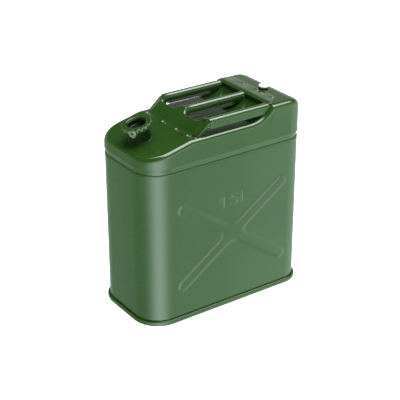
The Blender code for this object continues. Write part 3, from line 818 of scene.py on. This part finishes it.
def makeSealEye():
    s = sealEye
    around = s["around"]
    shape = bmesh.new()
    top = ringTop - 0.0006
    centre = top - s["holeDrop"]
    outline, hole = [], []
    for step in range(around):
        a = 2 * math.pi * step / around
        u, v = math.cos(a), math.sin(a)
        if v >= 0:  # square shoulders above, tapering round below
            scale = min(s["halfWidth"] / max(abs(u), 1e-6), s["holeDrop"] / max(v, 1e-6))
            outline.append((u * scale, v * scale))
        else:
            drop = s["reach"] - s["holeDrop"]
            outline.append((u * s["halfWidth"] * (1 + 0.06 * v), v * drop))
        hole.append((u * s["hole"], v * s["hole"]))
    rings = []
    start = stack["ringRadius"] + 0.0003
    edge, back = s["edge"], s["thickness"]
    for points, depth, shrink in ((hole, 0, 0), (outline, 0, edge), (outline, edge, 0),
                                  (outline, back - edge, 0), (outline, back, edge), (hole, back, 0)):
        row = []
        for u, v in points:
            pull = 1 - shrink / math.hypot(u, v)
            row.append(shape.verts.new((start + depth, u * pull, centre + v * pull)))
        rings.append(row)
    rings.append(rings[0])
    for low, high in zip(rings, rings[1:]):
        for i in range(around):
            j = (i + 1) % around
            shape.faces.new((low[i], low[j], high[j], high[i]))
    bmesh.ops.recalc_face_normals(shape, faces=shape.faces)
    shape.transform(neckPlace @ Matrix.Rotation(s["angle"], 4, "Z"))
    mesh = bpy.data.meshes.new("sealLug")
    shape.to_mesh(mesh)
    shape.free()
    mesh.materials.append(paleEnamel)
    return finishPiece("sealLug", mesh, "seal_eye", "ring", 50)


makeSealEye()
print("neck, closure and ring turned")


# vent boss, washer and screw
vent = {
    "headRadius": 0.0090,
    "shank": 0.0040,
    "crown": 0.0004,
}


def makeVent():
    s = vent
    bossLow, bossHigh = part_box("vent_boss")
    washerLow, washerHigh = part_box("vent_washer")
    screwLow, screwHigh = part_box("vent_screw")
    clear = s["shank"] + 0.0004
    outer = (bossHigh.x - bossLow.x) / 2
    profile = [(outer, bossHigh.z), (outer, bossLow.z), (clear, bossLow.z), (clear, bossHigh.z)]
    turnPiece("ventBush", profile, 48, greenEnamel, ventPlace, "vent_boss", "can", bevel=0.0004)
    outer = s["headRadius"] - 0.0003
    profile = [(outer, washerHigh.z), (outer, washerLow.z), (clear, washerLow.z), (clear, washerHigh.z)]
    turnPiece("ventPad", profile, 64, blackRubber, ventPlace, "vent_washer", "vent_seal",
              bevel=0.0005)
    top = screwHigh.z
    low = washerHigh.z + 0.0003
    profile = [(0, top), (s["headRadius"] * 0.55, top), (s["headRadius"] * 0.60, top - s["crown"])]
    profile += [(s["headRadius"] - 0.0012, top - s["crown"]), (s["headRadius"] - 0.0004, top - 0.0007),
                (s["headRadius"], top - 0.0014), (s["headRadius"], low), (s["shank"], low)]
    level = low - 0.002
    while level > screwLow.z + 0.002:  # rolled thread rings
        profile += [(s["shank"], level), (s["shank"] - 0.0005, level - 0.0004), (s["shank"], level - 0.0008)]
        level -= 0.0012
    profile += [(s["shank"], screwLow.z + 0.0006), (s["shank"] - 0.0006, screwLow.z), (0, screwLow.z)]
    # the screw head's whiteness is partly painted reflection in its material
    turnPiece("ventPlug", profile, 64, zincWithPaintedReflection, ventPlace, "vent_screw", "vent", closed=False)


makeVent()
cutRound(cover, topCover["neckHole"], neckPlace, -0.02, 0.02)
cutRound(cover, topCover["ventHole"], ventPlace, topCover["rearDeck"] - 0.01, topCover["rearDeck"] + 0.01)
print("vent fitted and holes cut")


# carry handle: pressed flat, slots lipped, then bent
handle = {
    "sheet": 0.0014,
    "foot": -0.0620,
    "top": -0.0350,
    "path": [(-0.0722, 0.3291), (-0.0620, 0.3301), (-0.0350, 0.3533), (0.0865, 0.3531), (0.0950, 0.3536),
             (0.1190, 0.3521)],
    "folds": [0.002, 0.0026, 0.006, 0.006],
    "flangeHalf": 0.0660,
    "apronHalf": (0.0640, 0.0570),
    "apronOuter": (0.0735, 0.0742),
    "barSpacing": 0.067,
    "barWidth": 0.0155,
    "shoulder": 0.0068,
    "barDepth": 0.0152,
    "slotDrop": 0.0100,
    "farCorner": 0.0110,
    "nearCorner": 0.0180,
    "frontWelds": (0.060, 0.013, -0.027, -0.0605),
    "rearWelds": (0.068, 0.0295, -0.0105, -0.052),
    "frontWeldX": -0.0682,
    "rearWeldX": 0.1120,
    "weldRadius": 0.0038,
    "weldDepth": 0.0012,
    "slotEnd": 0.0860,
    "slotCorner": 0.0022,
    "slotLip": (0.0036, 0.0105),        # radius and depth of the lip on the apron
    "rearLip": (0.0012, 0.0026),        # the same at the slot's rear end
    "innerLipExtra": 0.0012,
    "barEnd": 0.0910,
    "rearEnd": 0.1190,
    "clippedCorner": [(0.1125, -0.0575), (0.1180, -0.0535), (0.1190, -0.0500)],
}


def foldedPath(corners, radii, steps=7):
    stations = [(0.0, *corners[0], math.atan2(corners[1][1] - corners[0][1], corners[1][0] - corners[0][0]))]
    for i in range(1, len(corners) - 1):
        here = Vector(corners[i])
        before = (here - Vector(corners[i - 1])).normalized()
        after = (Vector(corners[i + 1]) - here).normalized()
        startAngle, endAngle = math.atan2(before.y, before.x), math.atan2(after.y, after.x)
        turnBy = endAngle - startAngle
        reach = radii[i - 1] * math.tan(abs(turnBy) / 2)
        point = here - before * reach
        last = stations[-1]
        length = last[0] + (Vector(last[1:3]) - point).length
        stations.append((length, point.x, point.y, startAngle))
        for step in range(1, steps + 1):
            middle = startAngle + turnBy * (step - 0.5) / steps
            piece = 2 * radii[i - 1] * math.sin(abs(turnBy) / steps / 2)
            point = point + Vector((math.cos(middle), math.sin(middle))) * piece
            length += piece
            stations.append((length, point.x, point.y, startAngle + turnBy * step / steps))
    last = stations[-1]
    stations.append((last[0] + (Vector(last[1:3]) - Vector(corners[-1])).length, *corners[-1], last[3]))
    return np.array(stations)


pathTable = foldedPath(handle["path"], handle["folds"])


def lengthAt(x):
    return float(np.interp(x, pathTable[:, 1], pathTable[:, 0]))


def bendPoint(point):
    s, y, height = point
    x = float(np.interp(s, pathTable[:, 0], pathTable[:, 1]))
    z = float(np.interp(s, pathTable[:, 0], pathTable[:, 2]))
    angle = float(np.interp(s, pathTable[:, 0], pathTable[:, 3]))
    return Vector((x - math.sin(angle) * height, y, z + math.cos(angle) * height))


def slotEdge(centreY):
    s = handle
    front = lengthAt(handle["top"]) - s["slotDrop"]
    rear = lengthAt(s["slotEnd"])
    half = (s["barSpacing"] - s["barWidth"]) / 2
    far, near, rearCorner = s["farCorner"], s["nearCorner"], s["slotCorner"]
    outline = []
    for cx, cy, radius, start in ((front + far, half - far, far, 90), (front + near, near - half, near, 180),
                                  (rear - rearCorner, rearCorner - half, rearCorner, 270),
                                  (rear - rearCorner, half - rearCorner, rearCorner, 0)):
        steps = 5 if radius == rearCorner else 14
        for step in range(steps + 1):
            a = math.radians(start + 90 * step / steps)
            outline.append((cx + radius * math.cos(a), cy + radius * math.sin(a), math.cos(a), math.sin(a)))
        if start == 180 or start == 0:  # long side stations
            sign = -1 if start == 180 else 1
            ends = (front + near, rear - rearCorner) if start == 180 else (rear - rearCorner, front + far)
            for step in range(1, 12):
                outline.append((ends[0] + (ends[1] - ends[0]) * step / 12, sign * half, 0.0, float(sign)))
    return [(px, py + centreY, nx, ny) for px, py, nx, ny in outline]


def lipSettings(px, nx):
    s = handle
    fold = lengthAt(handle["top"])
    onBar = float(smoothStep(fold - 0.003, fold + 0.007, px))
    lipRadius, lipDepth = s["slotLip"]
    rearRadius, rearDepth = s["rearLip"]
    radius = lipRadius + (s["shoulder"] - lipRadius) * onBar
    depth = lipDepth + (s["barDepth"] + s["innerLipExtra"] - lipDepth) * onBar
    rear = max(nx, 0.0) ** 2 if px > fold + 0.02 else 0.0
    return radius + (rearRadius - radius) * rear, depth + (rearDepth - depth) * rear


def sideProfile(px):
    s = handle
    fold = lengthAt(handle["top"])
    foot = lengthAt(handle["foot"])
    wall = s["barSpacing"] + s["barWidth"] / 2
    bar = []
    for degrees in (0, 18, 36, 54, 72, 90):
        a = math.radians(degrees)
        bar.append((wall - s["shoulder"] * (1 - math.sin(a)), s["shoulder"] * (1 - math.cos(a))))
    bar += [(wall, s["barDepth"] * 0.8), (wall, s["barDepth"]), (wall + 0.0004, s["barDepth"] + 0.0005)]
    up = min(max((px - foot) / (fold - foot), 0), 1)
    inner = s["apronHalf"][0] + (s["apronHalf"][1] - s["apronHalf"][0]) * up
    outer = s["apronOuter"][0] + (s["apronOuter"][1] - s["apronOuter"][0]) * up
    web = [(inner + (outer - inner) * f, h) for f, h in (
        (0, 0), (0.06, 0.0002), (0.13, 0.0009), (0.22, 0.0018), (0.34, 0.0022), (0.52, 0.0023), (0.60, 0.0029),
        (0.96, 0.0034), (1.0, 0.0070))]
    mix = float(smoothStep(fold - 0.0030, fold + 0.0030, px))
    return [(a[0] * (1 - mix) + b[0] * mix, a[1] * (1 - mix) + b[1] * mix) for a, b in zip(web, bar)]


def makeHandle():
    s = handle
    shape = bmesh.new()
    boundary = []

    def addLoop(points):
        verts = [shape.verts.new((px, py, 0.0)) for px, py in points]
        edges = [shape.edges.new((verts[i], verts[(i + 1) % len(verts)])) for i in range(len(verts))]
        boundary.extend(edges)
        return verts

    def addLip(verts, outline):
        rings = [verts]
        for degrees in (18, 36, 54, 72, 90, 180):
            row = []
            for px, py, nx, ny in outline:
                radius, depth = lipSettings(px, nx)
                a = math.radians(min(degrees, 90))
                off = radius * (1 - math.sin(a))
                drop = depth if degrees == 180 else radius * (1 - math.cos(a))
                row.append(shape.verts.new((px + nx * off, py + ny * off, -drop)))
            rings.append(row)
        for low, high in zip(rings, rings[1:]):
            for i in range(len(outline)):
                j = (i + 1) % len(outline)
                shape.faces.new((low[i], high[i], high[j], low[j]))

    for centreY in (-s["barSpacing"] / 2, s["barSpacing"] / 2):
        outline = slotEdge(centreY)
        brink = []
        for px, py, nx, ny in outline:
            radius = lipSettings(px, nx)[0]
            brink.append((px + nx * radius, py + ny * radius))
        addLip(addLoop(brink), outline)

    spots = [(lengthAt(s["frontWeldX"]), y) for y in s["frontWelds"]]
    spots += [(lengthAt(s["rearWeldX"]), y) for y in s["rearWelds"]]
    for px, py in spots:
        around = 16
        turns = [2 * math.pi * k / around for k in range(around)]
        wide, deep = s["weldRadius"], s["weldDepth"]
        rings = [addLoop([(px + wide * math.cos(a), py + wide * math.sin(a)) for a in turns])]
        for share, drop in ((0.84, 0.10), (0.64, 0.42), (0.42, 0.80), (0.2, 0.98)):
            r = wide * share
            rings.append([shape.verts.new((px + r * math.cos(a), py + r * math.sin(a), -drop * deep))
                          for a in turns])
        for low, high in zip(rings, rings[1:]):
            for i in range(around):
                j = (i + 1) % around
                shape.faces.new((low[i], high[i], high[j], low[j]))
        shape.faces.new(rings[-1])

    end = lengthAt(s["rearEnd"])
    webStart = lengthAt(s["foot"]) + 0.0012
    barEnd = lengthAt(s["barEnd"])
    fold = lengthAt(s["top"])
    notch = (fold - 0.0012, fold + 0.0026)
    stations = list(np.linspace(webStart, fold - 0.005, 8)) + [fold - 0.004, fold - 0.0025, notch[0], notch[1]]
    stations += [fold + 0.0035, fold + 0.0045, fold + 0.006] + list(np.linspace(fold + 0.008, barEnd, 14))
    half = s["flangeHalf"]
    sides = {side: [[(px, side * py, -drop) for py, drop in sideProfile(px)] for px in stations]
             for side in (-1, 1)}
    nearEdge = [(row[0][0], row[0][1]) for row in sides[-1]]
    farEdge = [(row[0][0], row[0][1]) for row in sides[1]]
    wall = s["barSpacing"] + s["barWidth"] / 2 - 0.0008
    outer = [(0.0, -half + 0.004), (0.0012, -half + 0.0012), (0.004, -half)] + nearEdge
    outer += [(barEnd + 0.0003, -wall), (lengthAt(0.0935), -wall)]
    outer += [(lengthAt(cornerX), cornerY) for cornerX, cornerY in s["clippedCorner"]]
    outer += [(end, wall - 0.004), (end - 0.0012, wall - 0.0012), (end - 0.004, wall), (barEnd + 0.0003, wall)]
    outer += list(reversed(farEdge)) + [(0.004, half), (0.0012, half - 0.0012), (0.0, half - 0.004)]
    verts = addLoop(outer)
    lookup = {(round(v.co.x, 6), round(v.co.y, 6)): v for v in verts}
    for side in (-1, 1):
        made = []
        for row in sides[side]:
            first = lookup[(round(row[0][0], 6), round(row[0][1], 6))]
            made.append([first] + [shape.verts.new(point) for point in row[1:]])
        for number, (low, high) in enumerate(zip(made, made[1:])):
            across = 3 if stations[number] == notch[0] else len(low) - 1  # the side is notched at the fold
            for i in range(across):
                shape.faces.new((low[i], low[i + 1], high[i + 1], high[i]))
    bmesh.ops.triangle_fill(shape, use_beauty=True, use_dissolve=False, edges=boundary)
    cuts = sorted(set(np.round(pathTable[1:-1, 0], 6)))
    for cut in cuts:
        geometry = shape.verts[:] + shape.edges[:] + shape.faces[:]
        bmesh.ops.bisect_plane(shape, geom=geometry, plane_co=(cut, 0, 0), plane_no=(1, 0, 0), dist=1e-7)
    for vert in shape.verts:
        vert.co = bendPoint(vert.co)
    bmesh.ops.remove_doubles(shape, verts=shape.verts, dist=1e-6)
    bmesh.ops.recalc_face_normals(shape, faces=shape.faces)
    widest = max(shape.faces, key=lambda face: face.calc_area())
    if widest.normal.z < 0:
        bmesh.ops.reverse_faces(shape, faces=shape.faces)
    mesh = bpy.data.meshes.new("barHandle")
    shape.to_mesh(mesh)
    shape.free()
    mesh.materials.append(greenEnamel)
    piece = finishPiece("barHandle", mesh, "carry_handle", "can", 40)
    sheet = piece.modifiers.new("sheet", "SOLIDIFY")
    sheet.thickness = s["sheet"]
    sheet.offset = -1
    return piece


makeHandle()
print("handle pressed and bent")


# floor
sweptFloor = {
    "flatReach": 9.0,       # flat this far out, then swept up into a wall on all sides
    "sweepRadius": 3.0,
    "wallTop": 8.0,
    "around": 96,
    "sweepSteps": 10,
}


def makeFloor():
    s = sweptFloor
    rows = [(s["flatReach"], 0.0)]
    for step in range(1, s["sweepSteps"] + 1):
        a = math.pi / 2 * step / s["sweepSteps"]
        rows.append((s["flatReach"] + s["sweepRadius"] * math.sin(a), s["sweepRadius"] * (1 - math.cos(a))))
    rows.append((rows[-1][0], s["wallTop"]))
    turns = [math.tau * i / s["around"] for i in range(s["around"])]
    points, faces = bridgeRows([[(r * math.cos(a), r * math.sin(a), z) for a in turns] for r, z in rows])
    faces.append(tuple(range(s["around"])))
    mesh = bpy.data.meshes.new("paleFloor")
    mesh.from_pydata(points, [], faces)
    material, tree, shader = newMaterial("paleFloor")
    cloud = addNoise(tree, 3.0, 2.0)
    low = studio["floorGrey"] * 0.985
    tree.links.new(addRamp(tree, cloud, [(0.3, (low, low, low)), (0.7, (studio["floorGrey"],) * 3)]),
                   shader.inputs["Base Color"])
    shader.inputs["Roughness"].default_value = 0.9
    shader.inputs["Specular IOR Level"].default_value = 0.1
    shader.inputs["Emission Color"].default_value = (1, 1, 1, 1)
    shader.inputs["Emission Strength"].default_value = studio["floorGlow"]
    mesh.materials.append(material)
    floor = bpy.data.objects.new("paleFloor", mesh)
    scene.collection.objects.link(floor)
    for ray in ("diffuse", "glossy", "transmission", "shadow"):  # the studio world lights the can from below
        setattr(floor, "visible_" + ray, False)


makeFloor()
print("floor laid")
